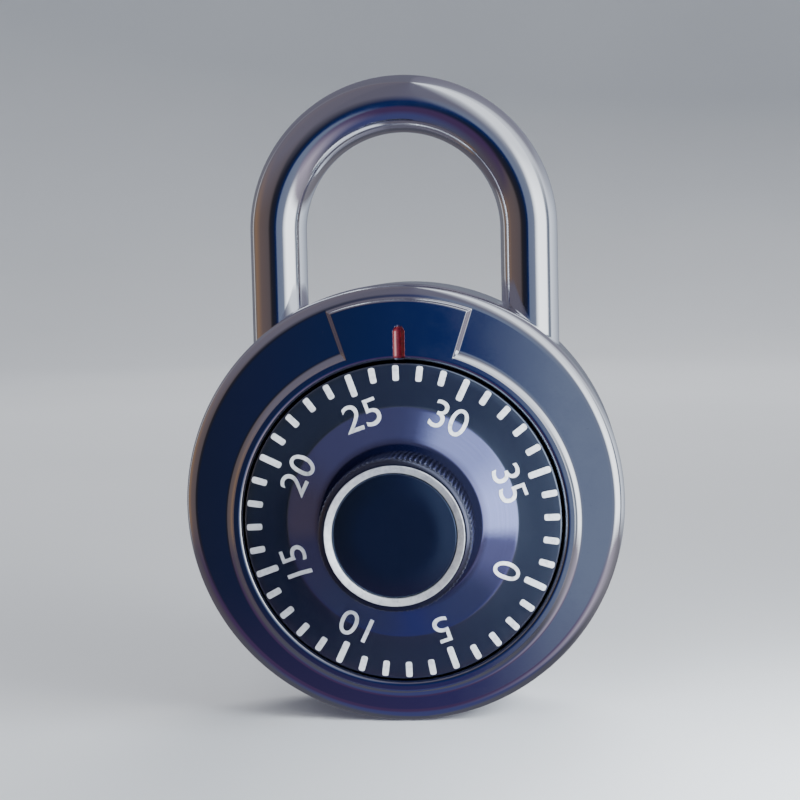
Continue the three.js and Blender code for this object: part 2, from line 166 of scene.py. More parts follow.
def lofted(name, rings, closed=False, caps=True):
    """Quads between rings of equal length. closed joins last to first, caps fills the two ends."""
    count = len(rings[0])
    vertices = [point for ring in rings for point in ring]
    faces = []
    pairs = len(rings) if closed else len(rings) - 1
    for i in range(pairs):
        a = i * count
        b = ((i + 1) % len(rings)) * count
        for j in range(count):
            k = (j + 1) % count
            faces.append((a + j, a + k, b + k, b + j))
    if caps and not closed:
        faces.append(tuple(range(count)))
        faces.append(tuple(range(len(vertices) - count, len(vertices))))
    return make_object(name, vertices, faces)


def turned(name, profile, segments=192, centre=(0.0, 0.0)):
    """A body of revolution about the Y axis through (x, z) = centre, from (radius, y) points."""
    angles = [2 * math.pi * i / segments for i in range(segments)]
    closed = profile[0][0] > 0 and profile[-1][0] > 0
    rings = [
        [(centre[0] + max(r, 1e-4) * math.cos(a), y, centre[1] + max(r, 1e-4) * math.sin(a)) for a in angles]
        for r, y in profile
    ]
    return lofted(name, rings, closed=closed, caps=not closed)


def arc(centre, radii, start, end, steps):
    """Points on an elliptic arc, angles in degrees."""
    points = []
    for i in range(steps + 1):
        a = math.radians(start + (end - start) * i / steps)
        points.append((centre[0] + radii[0] * math.cos(a), centre[1] + radii[1] * math.sin(a)))
    return points


def cylinder_tool(radius, z_low, z_high, x, sides=128):
    angles = [2 * math.pi * i / sides for i in range(sides)]
    rings = [
        [(x + radius * math.cos(a), ROD_Y + radius * math.sin(a), z) for a in angles] for z in (z_low, z_high)
    ]
    return lofted("tool", rings)


def prism_tool(outline, y_low, y_high):
    rings = [[(x, y, z) for x, z in outline] for y in (y_low, y_high)]
    return lofted("tool", rings)


def cut_away(obj, *tools):
    for tool in tools:
        modifier = obj.modifiers.new("cut", "BOOLEAN")
        modifier.operation = "DIFFERENCE"
        modifier.solver = "EXACT"
        modifier.object = tool
        bpy.context.view_layer.update()
        evaluated = obj.evaluated_get(bpy.context.evaluated_depsgraph_get())
        mesh = bpy.data.meshes.new_from_object(evaluated)
        obj.modifiers.clear()
        obj.data = mesh
        bpy.data.objects.remove(tool)


def shade_by_angle(obj, degrees):
    mesh = obj.data
    for face in mesh.polygons:
        face.use_smooth = True
    mesh.set_sharp_from_angle(angle=math.radians(degrees))
    modifier = obj.modifiers.new("normals", "WEIGHTED_NORMAL")
    modifier.keep_sharp = True
    modifier.weight = 50


# ---- materials ----------------------------------------------------------------------------------------
class Nodes:
    """A short way to write a node tree."""

    def __init__(self, name):
        self.material = bpy.data.materials.new(name)
        self.material.use_nodes = True
        self.tree = self.material.node_tree
        self.shader = self.tree.nodes["Principled BSDF"]
        self.coordinates = self.tree.nodes.new("ShaderNodeTexCoord")

    def add(self, kind, **inputs):
        node = self.tree.nodes.new(kind)
        for key, value in inputs.items():
            if key in node.inputs:
                self.set(node.inputs[key], value)
            else:
                setattr(node, key, value)
        return node

    def set(self, socket, value):
        if isinstance(value, bpy.types.NodeSocket):
            self.tree.links.new(value, socket)
        else:
            socket.default_value = value

    def math(self, operation, a, b=0.0, c=0.0):
        node = self.tree.nodes.new("ShaderNodeMath")
        node.operation = operation
        for socket, value in zip(node.inputs, (a, b, c)):
            self.set(socket, value)
        return node.outputs[0]

    def ramp(self, value, *stops):
        node = self.tree.nodes.new("ShaderNodeValToRGB")
        self.set(node.inputs[0], value)
        elements = node.color_ramp.elements
        elements[0].position, elements[0].color = stops[0][0], as_rgba(stops[0][1])
        elements[1].position, elements[1].color = stops[-1][0], as_rgba(stops[-1][1])
        for position, colour in stops[1:-1]:
            element = elements.new(position)
            element.color = as_rgba(colour)
        return node.outputs[0]

    def scaled(self, vector, scale):
        node = self.tree.nodes.new("ShaderNodeVectorMath")
        node.operation = "MULTIPLY"
        self.set(node.inputs[0], vector)
        self.set(node.inputs[1], scale)
        return node.outputs[0]

    def noise(self, vector, scale, detail=3.0, roughness=0.5, distortion=0.0):
        node = self.add("ShaderNodeTexNoise", Scale=scale, Detail=detail, Roughness=roughness,
                        Distortion=distortion)
        self.set(node.inputs["Vector"], vector)
        return node.outputs[0]

    def specks(self, place):
        """Fine dust: 1 on a few small grains, 0 between them."""
        return self.ramp(self.noise(place, 5200, 2, 0.5), (0.70, (0, 0, 0)), (0.76, (1, 1, 1)))

    def bump(self, height, strength, distance, normal=None):
        node = self.add("ShaderNodeBump", Strength=strength, Distance=distance)
        self.set(node.inputs["Height"], height)
        if normal is not None:
            self.set(node.inputs["Normal"], normal)
        return node.outputs[0]

    def mix(self, factor, a, b):
        node = self.tree.nodes.new("ShaderNodeMix")
        node.data_type = "RGBA"
        self.set(node.inputs[0], factor)
        self.set(node.inputs[6], as_rgba(a) if isinstance(a, tuple) else a)
        self.set(node.inputs[7], as_rgba(b) if isinstance(b, tuple) else b)
        return node.outputs[2]

    def surface(self, **inputs):
        for key, value in inputs.items():
            self.set(self.shader.inputs[key.replace("_", " ")], value)
        return self.material


def as_rgba(colour):
    return (*colour, 1.0) if len(colour) == 3 else colour


def between(n, value, start, end):
    """0 at start and 1 at end, straight in between."""
    share = n.math("DIVIDE", n.math("SUBTRACT", value, start), end - start)
    return n.math("MINIMUM", n.math("MAXIMUM", share, 0.0), 1.0)


def reach_from_dial_axis(n):
    """The distance from the dial's axis, in millimetres."""
    parts = n.add("ShaderNodeSeparateXYZ", Vector=n.coordinates.outputs["Object"])
    x = n.math("MULTIPLY", parts.outputs[0], 1 / MM)
    z = n.math("SUBTRACT", n.math("MULTIPLY", parts.outputs[2], 1 / MM), DIAL_Z)
    return n.math("SQRT", n.math("ADD", n.math("MULTIPLY", x, x), n.math("MULTIPLY", z, z)))


def chrome(name, tint=(0.86, 0.87, 0.90), smooth=0.035, rough=0.11):
    n = Nodes(name)
    place = n.coordinates.outputs["Object"]
    haze = n.noise(place, 260, 4, 0.6)
    scratches = n.noise(n.scaled(place, (1.0, 1.0, 14.0)), 900, 3, 0.7, 0.4)
    roughness = n.ramp(haze, (0.35, (smooth,) * 3), (0.75, (rough,) * 3))
    dust = n.specks(place)
    colour = n.mix(n.math("MULTIPLY", dust, 0.2), tint, (0.55, 0.56, 0.60))
    wave = n.bump(n.noise(place, 90, 2, 0.4), 0.02, 0.0006)
    fine = n.bump(scratches, 0.02, 0.00008, wave)
    dulled = n.math("ADD", roughness, n.math("MULTIPLY", dust, 0.1))
    return n.surface(Base_Color=colour, Metallic=1.0, Roughness=dulled, Normal=fine)


def dial_black(name):
    """Black plate that mirrors a little, with the flare towards the knob spun in circles and tinted blue, and
    painted shade darkening the flare next to the knob.
    """
    n = Nodes(name)
    place = n.coordinates.outputs["Object"]
    radius = reach_from_dial_axis(n)
    flare = between(n, radius, FLARE_OUTER + 0.1, FLARE_OUTER - 0.1)
    circles = n.noise(n.add("ShaderNodeCombineXYZ", X=radius).outputs[0], 4, 5, 0.75)
    blotches = n.noise(place, 420, 3, 0.6)
    dust = n.specks(place)
    plain = n.mix(n.math("MULTIPLY", dust, 0.3), (0.22, 0.26, 0.34), (0.36, 0.39, 0.44))
    spun = n.mix(circles, (0.10, 0.13, 0.40), (0.28, 0.32, 0.66))
    # Painted shade: the flare's colour goes to near black within 0.9 mm of the knob, standing in for the
    # knob's shade and its dark reflection.
    flare_with_painted_shade = n.mix(between(n, radius, FLARE_INNER + 0.9, FLARE_INNER), spun, (0.05, 0.05, 0.16))
    roughness = n.math("ADD", n.math("MULTIPLY", blotches, 0.10), 0.08)
    rings = n.bump(circles, n.math("MULTIPLY", flare, 0.05), 0.0001)
    peel = n.bump(blotches, 0.04, 0.0003, rings)
    return n.surface(Base_Color=n.mix(flare, plain, flare_with_painted_shade), Metallic=0.95, Roughness=roughness, Coat_IOR=2.2,
                     Coat_Weight=n.math("MULTIPLY_ADD", flare, 0.5, 0.1), Coat_Roughness=0.08, Normal=peel)


def black_plate(name, colour, roughness=0.1):
    """Black plating: dark, smooth and mirror-like, with fine dust."""
    n = Nodes(name)
    place = n.coordinates.outputs["Object"]
    grain = n.noise(place, 700, 4, 0.6)
    dusty = n.mix(n.math("MULTIPLY", n.specks(place), 0.3), colour, (0.34, 0.36, 0.40))
    uneven = n.math("ADD", n.math("MULTIPLY", grain, 0.1), roughness)
    return n.surface(Base_Color=dusty, Metallic=0.97, Roughness=uneven, Coat_Weight=0.25,
                     Coat_Roughness=0.1, Normal=n.bump(grain, 0.04, 0.0001))


def white_paint(name):
    n = Nodes(name)
    place = n.coordinates.outputs["Object"]
    wear = n.noise(place, 1600, 4, 0.7)
    colour = n.ramp(wear, (0.30, (0.55, 0.57, 0.62)), (0.5, (0.86, 0.88, 0.92)), (1.0, (0.95, 0.96, 0.98)))
    return n.surface(Base_Color=colour, Roughness=0.42, Normal=n.bump(wear, 0.15, 0.00006))


def red_paint(name):
    n = Nodes(name)
    place = n.coordinates.outputs["Object"]
    patches = n.noise(place, 1400, 4, 0.6)
    colour = n.ramp(patches, (0.3, (0.17, 0.004, 0.010)), (0.7, (0.28, 0.009, 0.020)))
    return n.surface(Base_Color=colour, Metallic=0.5, Roughness=0.2, Coat_Weight=1.0, Coat_IOR=2.2,
                     Coat_Roughness=0.06, Normal=n.bump(patches, 0.04, 0.00008))


def bright_trim(name):
    n = Nodes(name)
    place = n.coordinates.outputs["Object"]
    radius = reach_from_dial_axis(n)
    circles = n.noise(n.add("ShaderNodeCombineXYZ", X=radius).outputs[0], 14, 5, 0.8)
    nicks = n.noise(place, 1300, 4, 0.7)
    colour = n.ramp(nicks, (0.3, (0.62, 0.64, 0.70)), (0.55, (0.90, 0.92, 0.95)))
    roughness = n.math("ADD", n.math("MULTIPLY", circles, 0.2), 0.2)
    return n.surface(Base_Color=colour, Metallic=0.55, Roughness=roughness,
                     Normal=n.bump(circles, 0.05, 0.00008))


def brushed(name, colour, darker, roughness, metallic=1.0):
    n = Nodes(name)
    place = n.coordinates.outputs["Object"]
    lines = n.noise(n.scaled(place, (1.0, 1.0, 30.0)), 260, 5, 0.75)
    blotches = n.noise(place, 180, 4, 0.6)
    mixed = n.mix(blotches, darker, colour)
    rough = n.math("ADD", n.math("MULTIPLY", lines, 0.2), roughness)
    return n.surface(Base_Color=mixed, Metallic=metallic, Roughness=rough,
                     Normal=n.bump(lines, 0.12, 0.00008))


def cast(name, colour, darker, roughness, grain=900, metallic=1.0):
    n = Nodes(name)
    place = n.coordinates.outputs["Object"]
    skin = n.noise(place, grain, 5, 0.7)
    stains = n.noise(place, 140, 4, 0.6)
    mixed = n.mix(stains, darker, colour)
    rough = n.math("ADD", n.math("MULTIPLY", skin, 0.2), roughness)
    return n.surface(Base_Color=mixed, Metallic=metallic, Roughness=rough,
                     Normal=n.bump(skin, 0.35, 0.00012))


LOOKS = {
    "case_chrome": chrome("case_chrome"),
    "shackle_chrome": chrome("shackle_chrome", smooth=0.05, rough=0.13),
    "dial_black": dial_black("dial_black"),
    "knob_black": black_plate("knob_black", (0.13, 0.14, 0.20), 0.16),
    "knob_face": black_plate("knob_face", (0.12, 0.16, 0.26), 0.08),
    "knob_bright": bright_trim("knob_bright"),
    "back_steel": brushed("back_steel", (0.66, 0.67, 0.69), (0.52, 0.53, 0.55), 0.24),
    "zinc": cast("zinc", (0.56, 0.57, 0.59), (0.40, 0.41, 0.43), 0.42),
    "brass": brushed("brass", (0.72, 0.55, 0.27), (0.58, 0.43, 0.19), 0.26),
    "pin_steel": brushed("pin_steel", (0.58, 0.59, 0.61), (0.42, 0.43, 0.45), 0.28),
    "spring_steel": brushed("spring_steel", (0.36, 0.37, 0.40), (0.22, 0.23, 0.25), 0.3),
    "nylon": cast("nylon", (0.84, 0.82, 0.76), (0.74, 0.72, 0.66), 0.45, 1200, 0.0),
    "white_paint": white_paint("white_paint"),
    "red_paint": red_paint("red_paint"),
}


def finish_piece(obj, body, slot, look=None, replaces=()):
    obj.data.materials.clear()
    obj.data.materials.append(LOOKS[look or slot])
    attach(obj, body)
    if replaces:
        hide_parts(*replaces)
    return obj


def dress_cad_nodes():
    slots = {s["node"]: s["material_slot"] for s in frame["record"]["subparts"]}
    for name, node in frame["nodes"].items():
        node.data.materials.clear()
        node.data.materials.append(LOOKS[slots[name]])


# ---- case shell ---------------------------------------------------------------------------------------
def ray_length(angle, radius):
    """How far from the dial's axis the case-centred circle of this radius is, at this angle from +X."""
    up = DIAL_Z * math.sin(angle)
    return -up + math.sqrt(up * up - DIAL_Z * DIAL_Z + radius * radius)


def shell_angles():
    """Angles about the dial's axis, closer together at the pad's sides, its groove and the leg holes."""
    fine = []
    top = 90.0
    for centre, half, step in ((top, 2.4, 0.15), (top - 18.6, 1.4, 0.12), (top + 18.6, 1.4, 0.12),
                               (top - 36, 13, 0.5), (top + 36, 13, 0.5)):
        count = round(2 * half / step)
        fine += [centre - half + step * i for i in range(count + 1)]
    coarse = [1.5 * i for i in range(240)]
    keep = [c for c in coarse if all(abs(c - f) > 0.4 for f in fine)]
    spaced = []
    for value in sorted(fine + keep):
        if not spaced or value - spaced[-1] > 0.05:
            spaced.append(value)
    return [math.radians(v) for v in spaced]


def groove_depth(x, reach):
    """The depth of the round-bottomed index groove, which runs from its end on the pad down to the well."""
    to_end = min(0.0, GROOVE_END - GROOVE_HALF - reach)
    across = math.hypot(x, to_end) / GROOVE_HALF
    return GROOVE_DEPTH * math.sqrt(1 - across * across) if across < 1 else 0.0


def front_height(angle, reach):
    """How far the front lies behind its highest plane, at a point by angle and reach from the dial's axis.

    The collar round the dial and the index pad stand up together; the rest of the face is one step lower.
    """
    lean = abs(angle - math.pi / 2)
    x = reach * math.cos(angle)
    z = DIAL_Z + reach * math.sin(angle)
    past_collar = min(1.0, max(0.0, (reach - COLLAR_R) / (COLLAR_FOOT - COLLAR_R)))
    off_collar = 1 - (1 - past_collar) ** 2
    beside_pad = reach * math.sin(min(lean - PAD_HALF_ANGLE, math.pi / 2))
    off_side = smoothstep(0.0, PAD_SIDE_SLOPE, beside_pad)
    off_end = smoothstep(PAD_R, CASE_R - EDGE_ROUND, math.hypot(x, z))
    step = min(off_collar, max(off_side, off_end)) * STEP
    return step + (groove_depth(x, reach) if z > 0 else 0.0)


def hole_dip(x, y, z):
    """How far the wall turns in round a leg hole."""
    if z < 5:
        return 0.0
    turn_in = 0.55
    depth = 0.4
    edge = math.hypot(abs(x) - LEG_X, y - ROD_Y) - LEG_HOLE_R
    if edge > turn_in:
        return 0.0
    t = min(1.0, (turn_in - edge) / turn_in)
    return depth * (1 - math.sqrt(max(0.0, 1 - t * t)))


def case_shell():
    angles = shell_angles()

    def dial_ring(reach, y):
        return [(reach * math.cos(a), y, DIAL_Z + reach * math.sin(a)) for a in angles]

    def face_ring(reaches):
        return [
            (r * math.cos(a), FRONT + front_height(a, r), DIAL_Z + r * math.sin(a))
            for a, r in zip(angles, reaches)
        ]

    def case_ring(radius, y, dipped=False):
        ring = []
        for a in angles:
            r = ray_length(a, radius)
            x = r * math.cos(a)
            z = DIAL_Z + r * math.sin(a)
            if dipped:
                shrink = 1 - hole_dip(x, y, z) / radius
                x, z = x * shrink, z * shrink
            ring.append((x, y, z))
        return ring

    corner = 0.4
    floor_middle = 12
    rings = [dial_ring(SPINDLE_HOLE_R, WELL_FLOOR), dial_ring(floor_middle, WELL_FLOOR)]
    for reach, y in arc((WELL_R - corner, WELL_FLOOR - corner), (corner, corner), 90, 0, 4):
        rings.append(dial_ring(reach, y))
    # The well's rounded lip: each step takes a share of the drop from the face to the wall.
    wall_top = FRONT + LIP_ROUND
    crest = WELL_R + LIP_ROUND
    for i in range(12):
        a = math.radians(90 * i / 12)
        reach = WELL_R + LIP_ROUND * (1 - math.cos(a))
        share = math.sin(a)
        rings.append([
            (reach * math.cos(t), wall_top + share * (FRONT + front_height(t, reach) - wall_top),
             DIAL_Z + reach * math.sin(t))
            for t in angles
        ])
    for reach in [*np.linspace(crest, COLLAR_R, 4), *np.linspace(COLLAR_R, COLLAR_FOOT, 15)[1:]]:
        rings.append(face_ring([float(reach)] * len(angles)))
    pad_end = [ray_length(a, PAD_R) for a in angles]
    pad_rows = 40
    for i in range(1, pad_rows + 1):
        rings.append(face_ring([COLLAR_FOOT + (end - COLLAR_FOOT) * i / pad_rows for end in pad_end]))
    face_edge = CASE_R - EDGE_ROUND
    for radius in np.linspace(PAD_R, face_edge, 12)[1:-1]:
        rings.append(face_ring([ray_length(a, float(radius)) for a in angles]))
    face_level = FRONT + STEP
    for radius, y in arc((face_edge, face_level + EDGE_ROUND), (EDGE_ROUND, EDGE_ROUND), -90, 0, 14):
        rings.append(case_ring(radius, y))
    y = face_level + EDGE_ROUND
    hole_margin = 0.7
    hole_front = ROD_Y - LEG_HOLE_R - hole_margin
    hole_back = ROD_Y + LEG_HOLE_R + hole_margin
    rings += [case_ring(CASE_R, y + (hole_front - y) * t / 6) for t in range(1, 6)]
    rows = 48
    for i in range(rows + 1):
        rings.append(case_ring(CASE_R, hole_front + (hole_back - hole_front) * i / rows, dipped=True))
    rear_round = 0.8
    rings += [case_ring(CASE_R, hole_back + (-rear_round - 0.1 - hole_back) * t / 4) for t in range(1, 4)]
    for radius, y in arc((CASE_R - rear_round, -rear_round), (rear_round, rear_round), 0, 90, 8):
        rings.append(case_ring(radius, y))
    mouth_round = 0.3
    for radius, y in arc((REAR_LIP_R + mouth_round, -mouth_round), (mouth_round, mouth_round), 90, 180, 5):
        rings.append(case_ring(radius, y))
    inside = CASE_R - SHEET
    inner_front = FRONT + FRONT_SHEET
    rings.append(case_ring(REAR_LIP_R, REAR_LIP))
    rings.append(case_ring(inside, REAR_LIP))
    rings += [case_ring(inside, REAR_LIP + (inner_front - REAR_LIP) * t / 12) for t in range(1, 13)]
    rings.append(dial_ring(WELL_R + WELL_WALL, inner_front))
    rings.append(dial_ring(WELL_R + WELL_WALL, WELL_FLOOR + WELL_WALL))
    rings.append(dial_ring(floor_middle, WELL_FLOOR + WELL_WALL))
    rings.append(dial_ring(SPINDLE_HOLE_R, WELL_FLOOR + WELL_WALL))
    obj = lofted("case_skin", rings, closed=True)
    holes = [cylinder_tool(LEG_HOLE_R, 8, CASE_R + 3, side * LEG_X) for side in (-1, 1)]
    cut_away(obj, *holes)
    shade_by_angle(obj, 40)
    return finish_piece(obj, "case", "case_chrome", replaces=["case_shell"])


def index_line():
    """Red paint that lines the index groove, as a skin of even thickness."""
    across = 16
    along = 40
    paint = 0.07
    start = WELL_R + LIP_ROUND * 0.45
    top, bottom = [], []
    for i in range(along + 1):
        reach = start + (GROOVE_END - 0.01 - start) * i / along
        to_end = min(0.0, GROOVE_END - GROOVE_HALF - reach)
        half = 1.06 * math.sqrt(max(0.004, GROOVE_HALF ** 2 - to_end ** 2))
        lip = max(0.0, WELL_R + LIP_ROUND - reach) / LIP_ROUND
        drop = LIP_ROUND * (1 - math.sqrt(1 - lip * lip))
        for j in range(across + 1):
            x = half * math.sin(math.pi * (j / across - 0.5))
            y = FRONT + drop + groove_depth(x, reach)
            top.append((x, y - paint, DIAL_Z + reach))
            bottom.append((x, y + paint, DIAL_Z + reach))
    vertices = top + bottom
    stride = across + 1
    shift = len(top)
    faces = []
    for i in range(along):
        for j in range(across):
            a = i * stride + j
            faces.append((a, a + 1, a + 1 + stride, a + stride))
            faces.append((shift + a, shift + a + stride, shift + a + 1 + stride, shift + a + 1))
    border = list(range(across))
    border += [i * stride + across for i in range(along)]
    border += [along * stride + across - j for j in range(across)]
    border += [(along - i) * stride for i in range(along)]
    for a, b in zip(border, border[1:] + border[:1]):
        faces.append((a, b, shift + b, shift + a))
    obj = make_object("index_line", vertices, faces)
    return finish_piece(obj, "case", "dial_black", look="red_paint")


def rear_cover():
    """A flat pressed disc with a rounded edge and one shallow ring pressed into it."""
    edge = cover_high.x
    front = cover_low.y
    seat = REAR_LIP - 0.1
    mouth = REAR_LIP_R - 0.2
    round_off = 0.35
    ring_r, ring_half, ring_depth = 19.9, 0.3, 0.22
    profile = [(0, front), (edge, front), (edge, seat), (mouth, seat)]
    profile += arc((mouth - round_off, -round_off), (round_off, round_off), 0, 90, 6)
    profile += arc((ring_r, 0.0), (ring_half, -ring_depth), 0, 180, 8)
    profile += [(12, 0.0), (0, 0.0)]
    obj = turned("rear_cover", profile, 256)
    shade_by_angle(obj, 35)
    return finish_piece(obj, "case", "back_steel", replaces=["back_cover"])


# ---- dial and knob ------------------------------------------------------------------------------------
def dial_surface(reach):
    """The dial's front surface, as y, at a distance from its axis: a flat rim, a blend, and the cone."""
    inside = FLARE_OUTER - reach
    if abs(inside) < FLARE_BLEND:
        inside = (inside + FLARE_BLEND) ** 2 / (4 * FLARE_BLEND)
    slope = (TICK_PLANE - FLARE_TOP) / (FLARE_OUTER - FLARE_INNER)
    return TICK_PLANE - slope * min(max(inside, 0.0), FLARE_OUTER - FLARE_INNER)


def dial_face():
    back = dial_high.y
    profile = [(BORE_R, back), (DIAL_R - 0.4, back)]
    profile += arc((DIAL_R - 0.4, back - 0.4), (0.4, 0.4), 90, 0, 5)
    profile += arc((DIAL_R - 0.2, TICK_PLANE + 0.2), (0.2, 0.2), 0, -90, 6)
    profile += [(17, TICK_PLANE), (15, TICK_PLANE)]
    blend = np.linspace(FLARE_OUTER + FLARE_BLEND, FLARE_OUTER - FLARE_BLEND, 10)
    cone = np.linspace(FLARE_OUTER - 1, FLARE_INNER, 8)
    profile += [(r, dial_surface(r)) for r in (*blend, *cone)]
    profile += [(BORE_R, FLARE_TOP)]
    obj = turned("dial_face", profile, 320, (0, DIAL_Z))
    shade_by_angle(obj, 40)
    return finish_piece(obj, "dial", "dial_black", replaces=["dial_plate"])


def clockwise(number):
    """The angle of a number, clockwise from the index as seen from the front."""
    return (number - NUMBER_AT_INDEX) * 2 * math.pi / DIVISIONS


def on_dial(turn, u, v, lift):
    """A point u sideways and v outward along the direction at this turn, lifted off the dial."""
    x = u * math.cos(turn) + v * math.sin(turn)
    z = -u * math.sin(turn) + v * math.cos(turn)
    return (x, dial_surface(math.hypot(u, v)) - lift, DIAL_Z + z)


def dial_ticks():
    vertices, faces = [], []
    outer_end = 17.7
    half = 0.36
    corner = 0.24
    for number in range(DIVISIONS):
        length = LONG_TICK if number % NUMBER_EVERY == 0 else SHORT_TICK
        turn = clockwise(number)
        outline = []
        for cx, cz, start in ((half, outer_end, 0), (-half, outer_end, 90),
                              (-half, outer_end - length, 180), (half, outer_end - length, 270)):
            inset_x = cx - math.copysign(corner, cx)
            inset_z = cz - (corner if start < 180 else -corner)
            outline += arc((inset_x, inset_z), (corner, corner), start, start + 90, 6)
        rims = []
        for scale_in, lift in ((0.0, -0.05), (0.0, 0.03), (0.04, 0.055)):
            rim = []
            for u, v in outline:
                pulled = v - math.copysign(scale_in, v - (outer_end - length / 2))
                rim.append(on_dial(turn, u * (1 - scale_in / half), pulled, lift))
            rims.append(rim)
        base = len(vertices)
        count = len(outline)
        for rim in rims:
            vertices += rim
        for level in range(2):
            for j in range(count):
                k = (j + 1) % count
                a = base + level * count
                faces.append((a + j, a + k, a + count + k, a + count + j))
        faces.append(tuple(base + j for j in range(count)))
        faces.append(tuple(base + 2 * count + j for j in range(count)))
    obj = make_object("dial_ticks", vertices, faces)
    shade_by_angle(obj, 30)
    return finish_piece(obj, "dial", "dial_black", look="white_paint")


def glyph_mesh(text):
    curve = bpy.data.curves.new("glyph", "FONT")
    curve.body = text
    curve.align_x = "CENTER"
    curve.resolution_u = 8
    holder = bpy.data.objects.new("glyph", curve)
    bpy.context.scene.collection.objects.link(holder)
    bpy.context.view_layer.update()
    mesh = bpy.data.meshes.new_from_object(holder.evaluated_get(bpy.context.evaluated_depsgraph_get()))
    bpy.data.objects.remove(holder)
    return mesh


def dial_number(number):
    """A number whose strokes lie on the dial, its feet reaching onto the flare."""
    cap_height = 3.1
    centre_reach = 12.9
    width_share = 1.04
    mesh = glyph_mesh(str(number))
    b = bmesh.new()
    b.from_mesh(mesh)
    bmesh.ops.remove_doubles(b, verts=b.verts, dist=1e-5)
    low = min(v.co.y for v in b.verts)
    high = max(v.co.y for v in b.verts)
    left = min(v.co.x for v in b.verts)
    right = max(v.co.x for v in b.verts)
    scale = cap_height / (high - low)
    for vertex in b.verts:
        vertex.co.x = (vertex.co.x - (left + right) / 2) * scale * width_share
        vertex.co.y = (vertex.co.y - (low + high) / 2) * scale
        vertex.co.z = 0
    # A grid of cuts, fine enough for the strokes to follow the cone.
    grid = 0.25
    for normal, reach in ((Vector((1, 0, 0)), 3.2), (Vector((0, 1, 0)), 1.8)):
        place = -reach
        while place < reach:
            geometry = b.verts[:] + b.edges[:] + b.faces[:]
            bmesh.ops.bisect_plane(b, geom=geometry, plane_co=normal * place, plane_no=normal, dist=1e-4)
            place += grid
    bmesh.ops.triangulate(b, faces=b.faces)
    turn = clockwise(number)
    for vertex in b.verts:
        vertex.co = Vector(on_dial(turn, vertex.co.x, centre_reach + vertex.co.y, 0.0)) * MM
    bmesh.ops.recalc_face_normals(b, faces=b.faces)
    if sum(f.normal.y for f in b.faces) > 0:
        bmesh.ops.reverse_faces(b, faces=b.faces)
    b.to_mesh(mesh)
    b.free()
    obj = bpy.data.objects.new(f"dial_number_{number}", mesh)
    bpy.context.scene.collection.objects.link(obj)
    solid = obj.modifiers.new("paint", "SOLIDIFY")
    solid.thickness = 0.09 * MM
    solid.offset = 0.1
    return finish_piece(obj, "dial", "dial_black", look="white_paint")


def knob_body():
    """The knurled grip: straight teeth along the side, fading out at the rounded nose and at the foot."""
    samples = KNURL_TEETH * 8
    foot = FLARE_TOP - 0.1
    nose_round = 0.85
    nose = KNOB_FRONT
    rows = [(BORE_R, foot, 0.0), (KNOB_R - 0.25, foot, 0.0)]
    rows += [(KNOB_R - 0.1, foot - 0.1, 0.3), (KNOB_R, foot - 0.25, 1.0)]
    side_end = nose + nose_round
    rows += [(KNOB_R, foot - 0.25 + (side_end - foot + 0.25) * i / 6, 1.0) for i in range(1, 6)]
    for i, (r, y) in enumerate(arc((KNOB_R - nose_round, side_end), (nose_round, nose_round), 0, -90, 10)):
        rows.append((r, y, max(0.0, 1 - i / 5)))
    recess = nose + 0.9
    seat = trim_high.x + 0.05
    rows += [(seat + 0.12, nose, 0.0), (seat, nose + 0.12, 0.0), (seat, recess, 0.0), (BORE_R, recess, 0.0)]
    rings = []
    for r, y, depth in rows:
        ring = []
        for j in range(samples):
            a = 2 * math.pi * j / samples
            tooth = abs(math.sin(a * KNURL_TEETH / 2)) ** 0.8
            reach = r - depth * KNURL_DEPTH * (1 - tooth)
            ring.append((reach * math.cos(a), y, DIAL_Z + reach * math.sin(a)))
        rings.append(ring)
    obj = lofted("knob_body", rings, closed=True)
    shade_by_angle(obj, 50)
    return finish_piece(obj, "dial", "knob_black", replaces=["knob_grip"])


def knob_trim():
    """A bright ring that slopes in towards the knob's face."""
    width = 0.8
    outer = trim_high.x
    inner = outer - width
    front = trim_low.y
    back = trim_high.y
    lean = 0.26
    profile = [(inner, back), (outer, back), (outer, front + 0.12)]
    profile += arc((outer - 0.12, front + 0.12), (0.12, 0.12), 0, -70, 4)
    profile += [(inner + 0.1, front + lean), (inner, front + lean + 0.1)]
    obj = turned("knob_trim", profile, 256, (0, DIAL_Z))
    shade_by_angle(obj, 30)
    return finish_piece(obj, "dial", "knob_bright", replaces=["knob_ring"])


def knob_face():
    outer = cap_high.x
    front = cap_low.y + 0.3
    profile = [(0, cap_high.y), (outer, cap_high.y), (outer, front + 0.15)]
    profile += arc((outer - 0.15, front + 0.15), (0.15, 0.15), 0, -90, 5)
    profile += [(4, front + 0.02), (0, front + 0.03)]
    obj = turned("knob_face", profile, 256, (0, DIAL_Z))
    shade_by_angle(obj, 40)
    return finish_piece(obj, "dial", "knob_black", look="knob_face", replaces=["knob_cap"])


# ---- shackle ------------------------------------------------------------------------------------------
def shackle_path():
    """Centre and direction of each ring, from the toe's tip round the crown to the heel's end."""
    steps = 96
    path = []
    for z in np.linspace(TOE_Z, CROWN_Z, 12)[:-1]:
        path.append(((-LEG_X, float(z)), (1, 0)))
    for i in range(steps + 1):
        a = math.pi * (1 - i / steps)
        path.append(((LEG_X * math.cos(a), CROWN_Z + LEG_X * math.sin(a)), (-math.cos(a), -math.sin(a))))
    for z in np.linspace(CROWN_Z, HEEL_Z, 20)[1:]:
        path.append(((LEG_X, float(z)), (-1, 0)))
    return path


